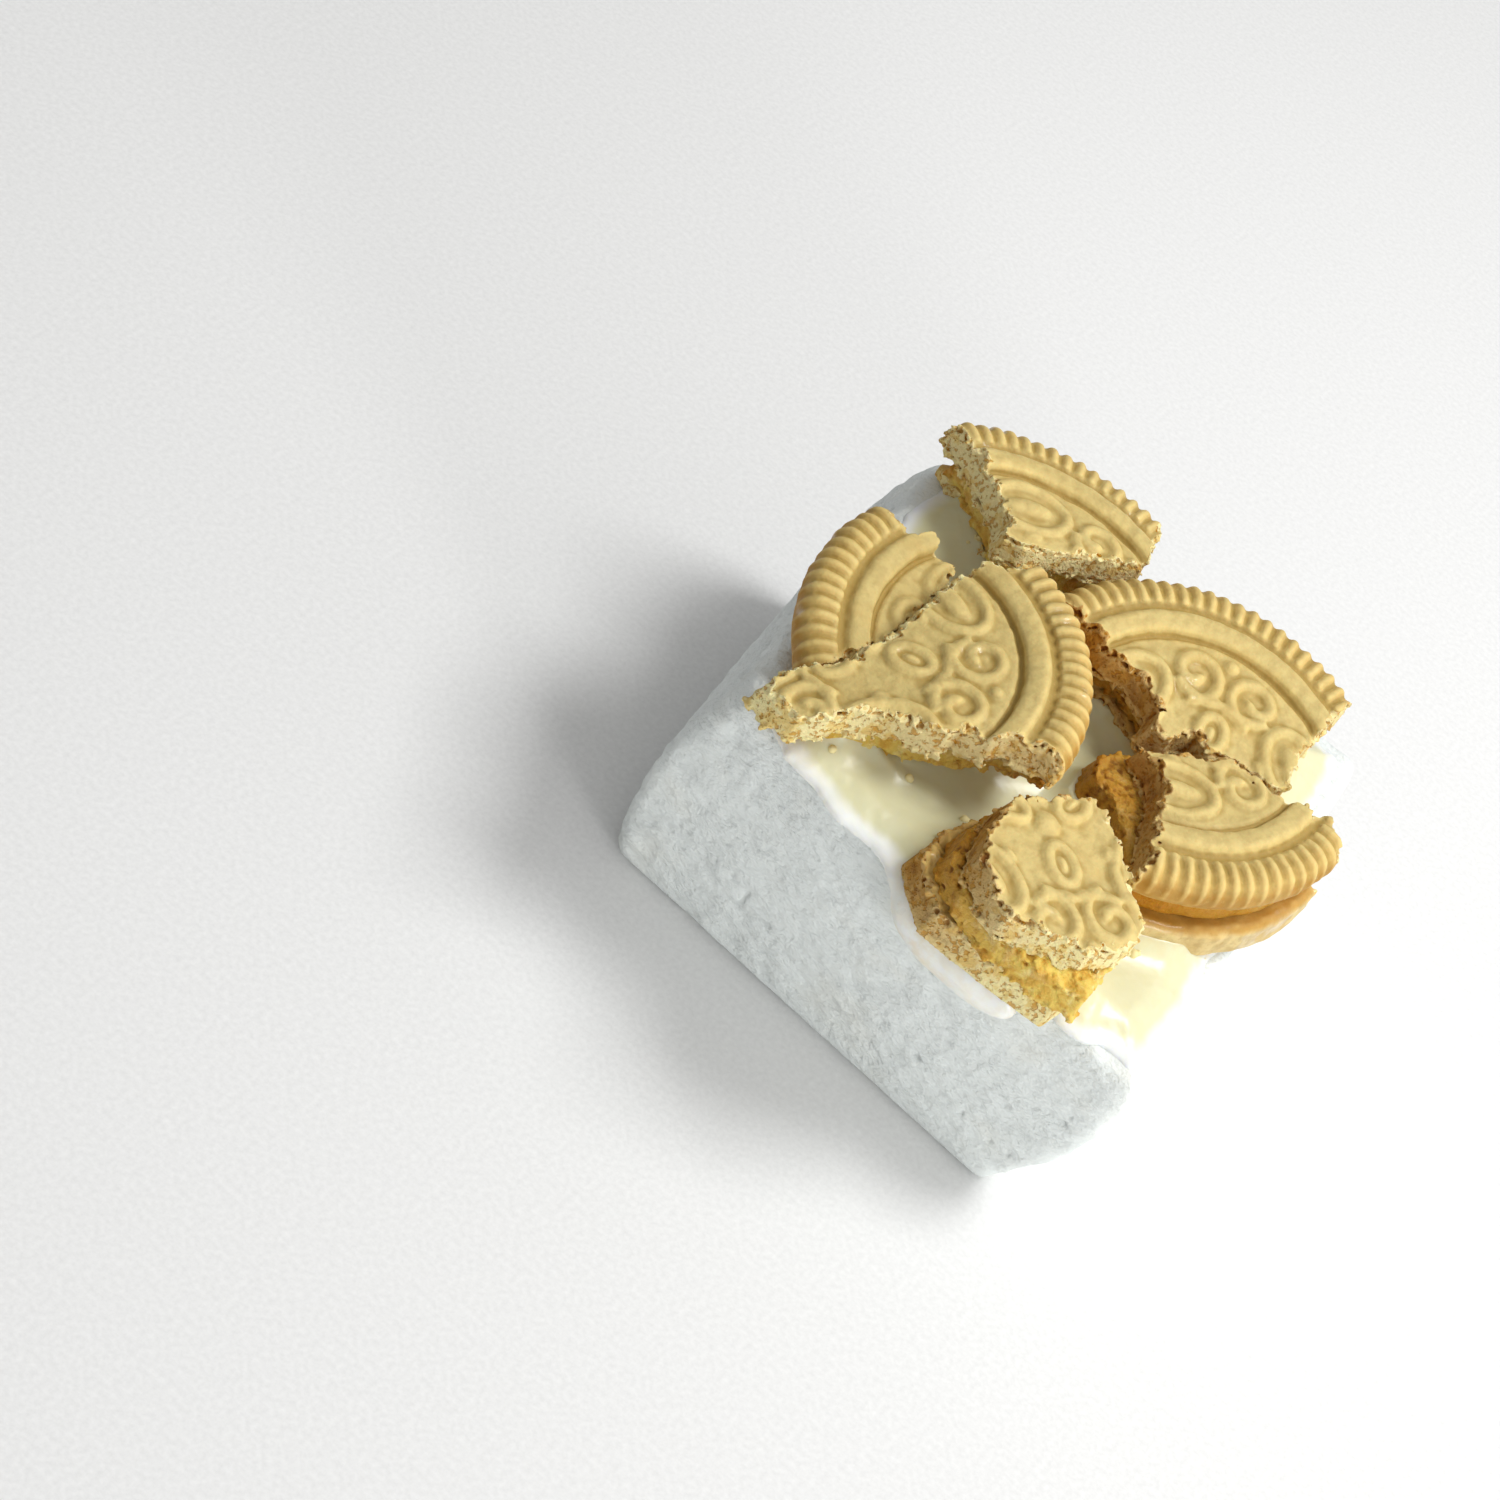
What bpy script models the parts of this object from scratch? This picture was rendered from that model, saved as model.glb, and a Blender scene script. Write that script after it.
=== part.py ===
"""Lemon cookie marshmallow: a hand-cut marshmallow square under pale icing, with six broken pieces of
lemon sandwich cookie set in it. It lies flat on its base, with the shown side up.

Axes of the whole: +X along the front edge to the right, +Y towards the back, +Z up from the base.
Sizes below are millimetres. The top is cut askew, so everything on it is placed in the top's own
axes: x and y run in the cut face, z stands on it, and the face falls towards +X by TOP_TILT degrees.
"""

import math
from dataclasses import dataclass

import bmesh
import bpy
from mathutils import Matrix, Vector

MM = 0.001

# The marshmallow
TOP_TILT = 5.4
TOP_HEIGHT = 27.7
TOP_CORNERS = {
    "front_left": (-26.4, -22.4),
    "front_right": (26.4, -22.6),
    "back_right": (20.9, 35.4),
    "back_left": (-32.5, 22.4),
}
FRONT_BOW = 2.2
SIDE_BULGE = {"front": 0.5, "right": 1.0, "back": 1.0, "left": 2.6}
# How much the front right corner is cut short at the base, and how far that reaches as a share of the block
SHORT_CORNER = 3.0
SHORT_REACH = (0.3, 0.4, 0.4)
EDGE_ROUND = 1.6
BLOCK_CUTS = 7
# An edge is rounded where its faces meet at more than this many degrees
SHARP = 50

# Moves the whole so that the middle of its box, seen from above, is the origin
CENTRE = (-5.03, 3.72)

# The icing
GAP = 0.3
ICING_TOP = 1.9
ICING_ROUND = 0.8
ICING_EDGE = [
    (-25.0, -21.4), (-19.8, -24.2), (-13.0, -25.4), (-6.5, -25.2), (-2.6, -25.8), (1.0, -27.4),
    (6.0, -27.9), (10.2, -26.8), (13.0, -24.3), (19.0, -23.0), (24.3, -21.0), (25.0, -14.0),
    (23.6, -5.0), (23.2, 5.0), (21.2, 15.0), (20.4, 25.0), (18.8, 32.4), (9.0, 30.6),
    (-2.0, 27.6), (-14.0, 25.2), (-24.0, 22.6), (-30.2, 20.4), (-29.8, 10.0), (-27.6, -3.0),
    (-26.4, -12.0),
]
DRIP_CENTRE = (4.6, -26.7, -0.5)
DRIP_RADII = (6.6, 1.5, 2.3)

# The whole cookie that the pieces are broken from
COOKIE_RADIUS = 22.5
WAFER = 4.2
CREAM = 2.6
CREAM_RADIUS = 20.8
RIBS = 80
RIB_DEPTH = 0.55
# The valleys between ribs are also lower than the ribs, by this share of their depth
RIB_DIP = 0.6
RIBS_START = 18.6
# The ribs run down the side of the wafer by this share of its thickness
RIBS_END = 0.8
RING_INNER, RING_OUTER = 15.4, 18.0
FLOOR_DROP = 0.65
# Radius and drop below the ring band, from the middle outwards and down the side
FACE_PROFILE = [
    (0.0, FLOOR_DROP), (14.6, FLOOR_DROP), (RING_INNER, 0.1), (RING_INNER + 0.5, 0.0),
    (RING_OUTER - 0.3, 0.0), (RIBS_START - 0.2, 0.5), (RIBS_START + 0.6, 0.15), (21.2, 0.6),
    (COOKIE_RADIUS, 2.2), (21.7, WAFER), (0.0, WAFER),
]
BASE_PROFILE = [
    (0.0, 0.0), (21.6, 0.0), (COOKIE_RADIUS, 1.3), (COOKIE_RADIUS, 2.5), (21.0, WAFER), (0.0, WAFER),
]
PLAIN_STEPS = 72

# The scroll ornament in the middle of the face
LINE_RADIUS = 0.42
ORNAMENT_REACH = 10.6
REPEATS = 3
SCROLL_SIZE = 2.35
SCROLL_EYE = 0.8
SCROLL_TURNS = 1.25
SCROLL_SPREAD = 15.0
SCROLL_STEPS = 9
OVAL = (4.1, 2.4)
OVAL_STEPS = 12
PETAL = (1.9, 1.1)
PETAL_REACH = 4.4

# Sliced to this height above the top of the marshmallow, so that the pieces stand on the icing
SEAT = ICING_TOP + GAP
PRISM_TOP = 40.0


@dataclass
class Piece:
    """A broken piece: the middle of its whole cookie, its lean and turn in degrees, and the outline
    from above of each layer that it has. An outline runs well outside the cookie where the rim is whole.
    """

    centre: tuple
    lean: tuple
    turn: float
    face: list
    cream: list | None = None
    base: list | None = None


PIECES = {
    "back": Piece(
        centre=(-14.7, 6.1, 11.8), lean=(-5.0, 4.4), turn=10.0,
        face=[
            (-36.0, 19.0), (-28.6, 15.6), (-25.9, 14.1), (-23.7, 12.6), (-21.5, 11.1), (-20.5, 8.4),
            (-18.7, 9.4), (-16.3, 11.9), (-13.6, 15.1), (-11.5, 17.2), (-9.3, 19.7), (-10.1, 22.8),
            (-11.3, 27.2), (-11.3, 33.0), (-36.0, 33.0),
        ],
        cream=[
            (-36.0, 20.6), (-27.9, 16.9), (-24.6, 14.4), (-21.2, 12.2), (-18.3, 10.9), (-15.6, 13.2),
            (-12.8, 16.7), (-11.0, 19.6), (-11.8, 24.0), (-12.0, 33.0), (-36.0, 33.0),
        ],
        base=[
            (-36.0, 20.0), (-26.8, 16.4), (-23.9, 14.0), (-21.0, 11.5), (-19.0, 10.3), (-16.0, 12.6),
            (-13.3, 16.0), (-10.6, 18.9), (-11.0, 23.4), (-11.6, 33.0), (-36.0, 33.0),
        ],
    ),
    "left": Piece(
        centre=(-10.0, -1.8, 6.3), lean=(3.0, -4.0), turn=35.0,
        face=[
            (-36.0, 2.6), (-29.1, 2.3), (-26.9, 2.2), (-25.9, 4.5), (-25.0, 4.2), (-24.2, 2.9),
            (-21.9, 3.1), (-21.3, -1.0), (-21.2, -9.0), (-21.4, -12.0), (-22.4, -14.6),
            (-23.0, -17.8), (-25.2, -19.6), (-36.0, -27.0),
        ],
    ),
    "front": Piece(
        centre=(-21.9, -13.6, 8.2), lean=(-16.5, -8.0), turn=75.0,
        face=[
            (-15.2, 11.0), (-16.0, 7.2), (-18.0, 3.8), (-19.9, 2.4), (-20.5, -0.9), (-20.6, -5.7),
            (-20.4, -7.9), (-20.5, -11.6), (-21.6, -14.2), (-21.1, -15.9), (-22.3, -18.0),
            (-24.1, -20.2), (-24.7, -22.2), (-25.1, -24.4), (-22.5, -25.2), (-20.6, -25.4),
            (-19.1, -23.8), (-17.6, -21.1), (-14.9, -18.8), (-11.6, -17.9), (-10.0, -17.0),
            (-9.4, -15.5), (-6.5, -14.9), (-5.4, -13.3), (-2.3, -12.2), (4.0, -12.3), (4.0, 12.0),
        ],
        cream=[
            (-14.5, 12.0), (-15.6, 6.0), (-17.5, 2.0), (-18.4, -5.0), (-18.6, -11.0), (-19.2, -17.0),
            (-19.8, -21.5), (-18.0, -21.0), (-15.0, -17.9), (-11.6, -16.6), (-9.0, -14.6),
            (-6.0, -12.4), (-3.0, -10.6), (4.0, -9.0), (4.0, 12.0),
        ],
        base=[
            (-14.0, 12.0), (-15.0, 5.0), (-16.4, 0.0), (-16.6, -8.0), (-16.9, -16.0), (-15.4, -17.2),
            (-12.0, -15.4), (-9.6, -12.6), (-6.6, -8.4), (-2.0, -3.6), (2.0, 2.0), (4.0, 12.0),
        ],
    ),
    "right": Piece(
        centre=(8.8, 4.2, 11.0), lean=(-1.8, -6.9), turn=50.0,
        face=[
            (-18.0, 8.0), (-11.7, 8.1), (-9.3, 8.1), (-4.7, 7.5), (-2.3, 7.9), (-0.2, 7.9), (2.4, 6.7),
            (3.0, 4.4), (4.9, 4.9), (5.0, 6.2), (6.5, 7.9), (8.7, 6.7), (10.9, 8.4), (15.3, 8.8),
            (16.1, 10.8), (14.8, 14.6), (14.8, 19.0), (14.3, 21.4), (15.0, 23.2), (14.6, 31.0),
            (-18.0, 31.0),
        ],
        cream=[
            (-18.0, 10.4), (-9.0, 10.2), (-5.0, 9.8), (-1.0, 10.0), (2.6, 8.6), (5.0, 8.9), (8.5, 9.3),
            (11.5, 10.4), (13.9, 11.6), (13.4, 16.0), (13.7, 22.0), (13.4, 31.0), (-18.0, 31.0),
        ],
        base=[
            (-18.0, 9.2), (-8.6, 9.3), (-5.0, 8.4), (-1.2, 8.8), (2.2, 7.6), (4.2, 6.8), (8.6, 8.2),
            (12.0, 9.5), (14.8, 10.8), (14.0, 15.4), (14.4, 22.0), (14.0, 31.0), (-18.0, 31.0),
        ],
    ),
    "corner": Piece(
        centre=(2.5, 8.0, 10.4), lean=(-7.5, -0.4), turn=65.0,
        face=[
            (3.9, 1.4), (6.3, 3.2), (8.9, 5.8), (10.8, 7.7), (13.9, 8.0), (16.1, 8.3), (17.8, 8.6),
            (18.8, 9.4), (19.9, 8.8), (21.3, 10.3), (24.6, 8.2), (31.0, 8.6), (31.0, -18.0),
            (14.4, -18.0), (12.6, -13.2), (12.1, -11.5), (11.5, -9.3), (10.4, -6.9), (9.2, -3.6),
            (8.1, -1.2), (6.5, 0.6), (5.3, 1.0),
        ],
        cream=[
            (2.4, 2.2), (6.0, 4.0), (10.0, 6.8), (16.0, 7.4), (20.0, 8.2), (31.0, 8.0), (31.0, -18.0),
            (13.4, -18.0), (11.6, -11.4), (9.4, -7.6), (6.0, -3.6), (2.4, -2.4), (1.4, 0.0),
        ],
        base=[
            (1.8, 2.6), (6.0, 4.6), (10.0, 7.2), (16.0, 7.7), (20.4, 8.9), (31.0, 8.4), (31.0, -18.0),
            (14.0, -18.0), (11.8, -12.6), (10.4, -9.6), (8.4, -7.4), (4.6, -5.0), (1.4, -3.4),
            (0.9, 0.0),
        ],
    ),
    "small": Piece(
        centre=(2.5, -16.6, 11.1), lean=(0.0, 1.5), turn=26.0,
        face=[
            (-0.4, -15.2), (1.1, -14.0), (2.3, -11.5), (4.1, -9.5), (5.5, -9.8), (8.2, -11.4),
            (10.6, -12.4), (11.4, -13.8), (12.2, -15.2), (14.4, -16.2), (15.9, -18.2), (15.5, -21.1),
            (13.5, -24.3), (10.6, -25.7), (6.1, -28.6), (4.9, -28.2), (2.5, -27.1), (0.7, -26.0),
            (-0.2, -23.5), (-0.9, -20.7), (-1.2, -17.4),
        ],
        cream=[
            (-1.6, -16.0), (3.4, -12.0), (8.0, -12.6), (11.2, -15.0), (14.2, -17.0), (16.0, -20.4),
            (16.4, -26.2), (12.0, -27.4), (7.0, -28.0), (2.0, -27.6), (-1.4, -25.2), (-2.2, -20.6),
        ],
        base=[
            (-2.6, -16.4), (2.8, -11.6), (8.0, -12.0), (11.0, -14.6), (14.4, -17.4), (15.8, -20.6),
            (15.0, -26.0), (8.0, -27.6), (1.4, -28.4), (-1.8, -26.4), (-3.8, -24.4), (-3.6, -20.0),
        ],
    ),
}


def clear_scene():
    for obj in list(bpy.data.objects):
        bpy.data.objects.remove(obj, do_unlink=True)


def new_collection(name):
    collection = bpy.data.collections.new(name)
    bpy.context.scene.collection.children.link(collection)
    return collection


def metres(point):
    return Vector(point) * MM


def material(name, colour, roughness):
    made = bpy.data.materials.new(name)
    made.use_nodes = True
    shader = made.node_tree.nodes["Principled BSDF"]
    shader.inputs["Base Color"].default_value = (*colour, 1.0)
    shader.inputs["Roughness"].default_value = roughness
    shader.inputs["Metallic"].default_value = 0.0
    return made


def new_object(name, data, collection, finish=None, parent=None):
    obj = bpy.data.objects.new(name, data)
    collection.objects.link(obj)
    obj.parent = parent
    if finish is not None:
        obj.data.materials.append(finish)
    return obj


def evaluated_mesh(obj, name):
    """The object's mesh with its modifiers applied, or a curve's with its caps welded on."""
    graph = bpy.context.evaluated_depsgraph_get()
    mesh = bpy.data.meshes.new_from_object(obj.evaluated_get(graph))
    mesh.name = name
    shape = bmesh.new()
    shape.from_mesh(mesh)
    bmesh.ops.remove_doubles(shape, verts=shape.verts, dist=1e-6)
    bmesh.ops.recalc_face_normals(shape, faces=shape.faces)
    shape.to_mesh(mesh)
    shape.free()
    return mesh


def baked(obj, name):
    """The mesh of a helper object, which is then removed."""
    bpy.context.view_layer.update()
    mesh = evaluated_mesh(obj, name)
    mesh.transform(obj.matrix_world)
    bpy.data.objects.remove(obj, do_unlink=True)
    return mesh


def prism(name, outline, low, high, collection):
    """A flat outline extruded from one height to another, as a mesh."""
    curve = bpy.data.curves.new(name, "CURVE")
    curve.dimensions = "2D"
    curve.fill_mode = "BOTH"
    curve.extrude = (high - low) / 2 * MM
    spline = curve.splines.new("POLY")
    spline.points.add(len(outline) - 1)
    for point, (x, y) in zip(spline.points, outline):
        point.co = (*metres((x, y, 0)), 1)
    spline.use_cyclic_u = True
    helper = new_object(name, curve, collection)
    helper.location.z = (low + high) / 2 * MM
    return baked(helper, name)


def cutter(name, mesh, parent, collection):
    obj = new_object(name, mesh, collection, parent=parent)
    obj.hide_render = True
    obj.display_type = "WIRE"
    return obj


def boolean(obj, operation, other, solver="EXACT"):
    modifier = obj.modifiers.new(operation.title(), "BOOLEAN")
    modifier.operation = operation
    modifier.object = other
    modifier.solver = solver


def top_matrix():
    """From the top face's axes to the whole's."""
    place = Matrix.Translation(metres((-CENTRE[0], -CENTRE[1], TOP_HEIGHT)))
    return place @ Matrix.Rotation(math.radians(TOP_TILT), 4, "Y")


def make_marshmallow(finish, collection):
    """A cube carried into the hand-cut form, from the top face down to the flat base."""
    corners = {name: Vector((x, y, 0)) for name, (x, y) in TOP_CORNERS.items()}
    to_whole = top_matrix()
    down = (to_whole.to_3x3() @ Vector((0, 0, -1))).normalized()
    shape = bmesh.new()
    bmesh.ops.create_cube(shape, size=1.0)
    bmesh.ops.subdivide_edges(shape, edges=shape.edges, cuts=BLOCK_CUTS, use_grid_fill=True)
    for vert in shape.verts:
        u, v, w = vert.co + Vector((0.5, 0.5, 0.5))
        front = corners["front_left"].lerp(corners["front_right"], u)
        front.y -= FRONT_BOW * math.sin(math.pi * u) * w * w
        back = corners["back_left"].lerp(corners["back_right"], u)
        point = front.lerp(back, v)
        belly = math.sin(math.pi * w)
        sideways, backwards = 2 * u - 1, 2 * v - 1
        point.x += belly * sideways * SIDE_BULGE["right" if sideways > 0 else "left"]
        point.y += belly * backwards * SIDE_BULGE["back" if backwards > 0 else "front"]
        away = [part / reach for part, reach in zip((1 - u, v, w), SHORT_REACH)]
        point.x -= SHORT_CORNER * math.exp(-sum(share * share for share in away))
        on_top = to_whole @ metres(point)
        on_base = on_top + down * (on_top.z / -down.z)
        vert.co = on_base.lerp(on_top, w)
    mesh = bpy.data.meshes.new("marshmallow")
    shape.to_mesh(mesh)
    shape.free()
    obj = new_object("marshmallow", mesh, collection, finish)
    bevel = obj.modifiers.new("Soft edges", "BEVEL")
    bevel.width = EDGE_ROUND * MM
    bevel.segments = 3
    bevel.limit_method = "ANGLE"
    bevel.angle_limit = math.radians(SHARP)
    mesh.shade_smooth()


def make_icing(top, finish, collection, cutters):
    """A thin slab with a rounded upper edge, joined to the drip that hangs over the front edge."""
    slab = prism("icing", ICING_EDGE, GAP, ICING_TOP, collection)
    obj = new_object("icing", slab, collection, finish, top)
    bevel = obj.modifiers.new("Round edge", "BEVEL")
    bevel.width = ICING_ROUND * MM
    bevel.segments = 2
    bevel.limit_method = "ANGLE"
    bevel.angle_limit = math.radians(SHARP)
    drip = bpy.data.meshes.new("icing_drip")
    shape = bmesh.new()
    bmesh.ops.create_uvsphere(shape, u_segments=16, v_segments=8, radius=1.0)
    for vert in shape.verts:
        vert.co = metres(Vector(DRIP_CENTRE) + Vector(DRIP_RADII) * vert.co)
    shape.to_mesh(drip)
    shape.free()
    boolean(obj, "UNION", cutter("icing_drip", drip, top, cutters))


def turned(name, profile, steps, collection):
    """A profile turned about Z, closed at the axis."""
    mesh = bpy.data.meshes.new(name)
    points = [metres((radius, 0, -drop)) for radius, drop in profile]
    mesh.from_pydata(points, [(i, i + 1) for i in range(len(points) - 1)], [])
    helper = new_object(name, mesh, collection)
    screw = helper.modifiers.new("Turn", "SCREW")
    screw.axis = "Z"
    screw.steps = screw.render_steps = steps
    screw.use_merge_vertices = True
    screw.merge_threshold = 1e-6
    screw.use_smooth_shade = False
    return baked(helper, name)


def press_ribs(mesh):
    """Every second column of the rim is drawn in and down, which leaves the ribs standing."""
    for vert in mesh.vertices:
        radius = math.hypot(vert.co.x, vert.co.y)
        if radius < RIBS_START * MM or vert.co.z < -RIBS_END * WAFER * MM:
            continue
        valley = 0.5 - 0.5 * math.cos(RIBS * math.atan2(vert.co.y, vert.co.x))
        inward = RIB_DEPTH * MM * valley * (radius / (COOKIE_RADIUS * MM)) ** 4
        vert.co.x -= inward * vert.co.x / radius
        vert.co.y -= inward * vert.co.y / radius
        vert.co.z -= RIB_DIP * inward


def scroll_points(side):
    """A spiral that winds in from its outer end to its eye; side is its hand, 1 or -1."""
    count = round(SCROLL_TURNS * SCROLL_STEPS)
    for i in range(count + 1):
        part = i / count
        angle = side * SCROLL_TURNS * math.tau * part
        radius = SCROLL_SIZE + (SCROLL_EYE - SCROLL_SIZE) * part
        yield side * radius * math.cos(angle), radius * math.sin(angle)


def oval_points(width, height):
    for i in range(OVAL_STEPS):
        angle = math.tau * i / OVAL_STEPS
        yield width * math.cos(angle), height * math.sin(angle)


def ornament_line(name, points, reach, degrees, closed, collection):
    """One raised line, half sunk in the floor of the face, with its own x axis along the ring."""
    curve = bpy.data.curves.new(name, "CURVE")
    curve.dimensions = "3D"
    curve.bevel_depth = LINE_RADIUS * MM
    curve.bevel_resolution = 1
    curve.use_fill_caps = True
    points = list(points)
    spline = curve.splines.new("POLY")
    spline.points.add(len(points) - 1)
    for point, (x, y) in zip(spline.points, points):
        point.co = (*metres((x, y, 0)), 1)
    spline.use_cyclic_u = closed
    helper = new_object(name, curve, collection)
    angle = math.radians(degrees)
    helper.location = metres((reach * math.cos(angle), reach * math.sin(angle), -FLOOR_DROP))
    helper.rotation_euler.z = angle - math.pi / 2
    return baked(helper, name)


def make_ornament(collection):
    """Outlined ovals and pairs of scrolls by turns, round a middle of petals, as one mesh."""
    lines = []
    for i in range(REPEATS):
        at_oval = 360 * i / REPEATS
        at_pair = at_oval + 180 / REPEATS
        oval, petal = oval_points(*OVAL), oval_points(*reversed(PETAL))
        lines.append(ornament_line("oval", oval, ORNAMENT_REACH, at_oval, True, collection))
        lines.append(ornament_line("petal", petal, PETAL_REACH, at_pair, True, collection))
        for side in (-1, 1):
            scroll = scroll_points(side)
            place = at_pair - side * SCROLL_SPREAD
            lines.append(ornament_line("scroll", scroll, ORNAMENT_REACH, place, False, collection))
    shape = bmesh.new()
    for mesh in lines:
        shape.from_mesh(mesh)
        bpy.data.meshes.remove(mesh)
    joined = bpy.data.meshes.new("ornament")
    shape.to_mesh(joined)
    shape.free()
    return joined


def make_face_blank(cutters):
    """The whole upper wafer: ring band, ribbed rim and ornament."""
    mesh = turned("face_blank", FACE_PROFILE, 2 * RIBS, cutters)
    press_ribs(mesh)
    helper = new_object("face_blank", mesh, cutters)
    ornament = new_object("ornament", make_ornament(cutters), cutters)
    boolean(helper, "UNION", ornament)
    bpy.context.view_layer.update()
    whole = evaluated_mesh(helper, "face_whole")
    for obj in (helper, ornament):
        bpy.data.objects.remove(obj, do_unlink=True)
    return whole


def cookie_matrix(piece):
    """The middle of the cookie's face, its lean and its turn, in the top face's axes."""
    lean_x, lean_y = (math.tan(math.radians(angle)) for angle in piece.lean)
    up = Vector((lean_x, lean_y, 1)).normalized()
    along = Vector((0, 1, 0)).cross(up).normalized()
    across = up.cross(along)
    leaning = Matrix((along, across, up)).transposed().to_4x4()
    turning = Matrix.Rotation(math.radians(piece.turn), 4, "Z")
    return Matrix.Translation(metres(piece.centre)) @ leaning @ turning


def make_piece(name, piece, blanks, finishes, top, collection, cutters):
    """The layers of one broken piece, each cut from its whole disc by its own outline."""
    layers = [
        ("face", piece.face, 0.0),
        ("cream", piece.cream, WAFER + GAP),
        ("base", piece.base, WAFER + CREAM + 2 * GAP),
    ]
    for layer, outline, drop in layers:
        if outline is None:
            continue
        obj = new_object(f"{name}_{layer}", blanks[layer].copy(), collection, finishes[layer], top)
        obj.matrix_local = cookie_matrix(piece) @ Matrix.Translation(metres((0, 0, -drop)))
        break_line = prism(f"{name}_{layer}_break", outline, SEAT, PRISM_TOP, cutters)
        # The break lines run across thin ornament lines, and each disc is closed
        boolean(obj, "INTERSECT", cutter(f"{name}_{layer}_break", break_line, top, cutters), "MANIFOLD")


def main():
    clear_scene()
    parts = new_collection("lemon_cookie_marshmallow")
    cutters = new_collection("cutters")
    cutters.hide_render = True

    white = material("marshmallow", (0.84, 0.84, 0.82), 0.75)
    yellow = material("icing", (0.86, 0.80, 0.55), 0.30)
    finishes = {
        "face": material("wafer", (0.66, 0.50, 0.24), 0.62),
        "cream": material("cream", (0.80, 0.62, 0.22), 0.50),
        "base": material("brown_wafer", (0.52, 0.30, 0.10), 0.65),
    }

    top = bpy.data.objects.new("top_face", None)
    parts.objects.link(top)
    top.matrix_world = top_matrix()

    make_marshmallow(white, parts)
    make_icing(top, yellow, parts, cutters)

    cream_side = [(0.0, 0.0), (CREAM_RADIUS, 0.0), (CREAM_RADIUS, CREAM), (0.0, CREAM)]
    blanks = {
        "face": make_face_blank(cutters),
        "cream": turned("cream_blank", cream_side, PLAIN_STEPS, cutters),
        "base": turned("base_blank", BASE_PROFILE, PLAIN_STEPS, cutters),
    }
    for name, piece in PIECES.items():
        make_piece(name, piece, blanks, finishes, top, parts, cutters)


main()
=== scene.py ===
"""Looks of the lemon cookie marshmallow: a torn white block, poured icing and broken sandwich cookies.

Everything is worked out in the axes of the block's cut top, in millimetres, because that is how the
pieces lie: x and y run in the cut face and z stands on it. A mesh is brought to the whole's axes, in
metres, when it is made. A crumbly form is first a field: signed distances, negative inside, on cells.
"""

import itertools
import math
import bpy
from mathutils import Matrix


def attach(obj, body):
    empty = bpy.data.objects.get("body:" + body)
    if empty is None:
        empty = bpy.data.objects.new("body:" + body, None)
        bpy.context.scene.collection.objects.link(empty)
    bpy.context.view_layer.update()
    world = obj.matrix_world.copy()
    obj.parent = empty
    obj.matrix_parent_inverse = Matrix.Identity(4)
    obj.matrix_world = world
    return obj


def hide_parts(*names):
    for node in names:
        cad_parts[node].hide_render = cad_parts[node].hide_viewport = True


bl_info = {
    "name": "Lemon Cookie Marshmallow",
    "version": (1, 0, 0),
    "blender": (4, 5, 0),
    "location": "View3D > Sidebar > Marshmallow",
    "description": "Makes the crumbly looks of an iced marshmallow square with broken sandwich cookies",
    "category": "Add Mesh",
}

from collections import namedtuple

import bmesh
import bpy
import numpy as np
import openvdb
from bpy.props import FloatProperty, FloatVectorProperty, IntProperty, PointerProperty
from mathutils import Matrix, Vector

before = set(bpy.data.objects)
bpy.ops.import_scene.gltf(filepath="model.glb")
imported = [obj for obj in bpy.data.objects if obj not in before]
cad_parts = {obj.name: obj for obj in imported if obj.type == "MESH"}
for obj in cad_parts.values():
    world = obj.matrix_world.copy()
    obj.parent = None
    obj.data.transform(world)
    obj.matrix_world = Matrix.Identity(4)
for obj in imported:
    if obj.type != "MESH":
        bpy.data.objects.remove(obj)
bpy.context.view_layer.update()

MM = 0.001
BODY = "root"

# Where the cut top lies: its middle in the whole's axes, and how far it falls towards +X
TOP_PLACE = (5.03, -3.72, 27.7)
TOP_TILT = 5.4

# The cookie that the pieces were broken from
COOKIE_RADIUS = 22.5
WAFER = 4.2
CREAM_RADIUS = 20.8
BAND = (15.1, 17.8)
RIBS_START = 18.6
FLOOR = -0.7
# Each piece: the middle of its cookie's face, its lean in degrees along x and y, and its turn
COOKIE_PLACES = {
    "back": ((-14.7, 6.1, 11.8), (-5.0, 4.4), 10.0),
    "left": ((-10.0, -1.8, 6.3), (3.0, -4.0), 35.0),
    "front": ((-21.9, -13.6, 8.2), (-16.5, -8.0), 75.0),
    "right": ((8.8, 4.2, 11.0), (-1.8, -6.9), 50.0),
    "corner": ((2.5, 8.0, 10.4), (-7.5, -0.4), 65.0),
    "small": ((2.5, -16.6, 11.1), (0.0, 1.5), 26.0),
}
# A layer's radius, top, foot and edge rounding, and the depth of its crumb as a share of the wafer's
Layer = namedtuple("Layer", "radius top foot rounding crumb")
LAYERS = {
    "face": Layer(COOKIE_RADIUS, 0.0, -WAFER, 1.2, 1.0),
    "cream": Layer(CREAM_RADIUS, -4.0, -7.3, 0.5, 0.8),
    "base": Layer(COOKIE_RADIUS, -7.2, -11.6, 1.0, 1.0),
}
# How much painted shade darkens each piece's breaks, at its left and at its right: breaks recessed between
# pieces and turned from the key are painted dark brown
BREAK_SHADE = {
    "back": (0.15, 0.0), "left": (0.5, 0.4), "front": (-0.15, 0.5),
    "right": (1.2, 0.1), "corner": (0.9, 0.1), "small": (1.0, -0.5),
}

# How thick the icing is at its edge, and how far it reaches down into the marshmallow
SHEET_EDGE, SHEET_FOOT = 0.45, -0.35
# The tongue of icing that runs over the front edge
TONGUE_PLACE = (4.6, -26.3, -0.7)
TONGUE_RADII = (8.2, 2.3, 3.0)

# The camera, against the cut top: round it, above it, its roll, and the view's own offset
CAMERA_ROUND, CAMERA_ABOVE, CAMERA_ROLL = 6.5, 46.3, 40.8
CAMERA_OFFSET = (30.5, -2.84, -346.0)
LENS, SENSOR = 84.0, 36.0


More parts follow.
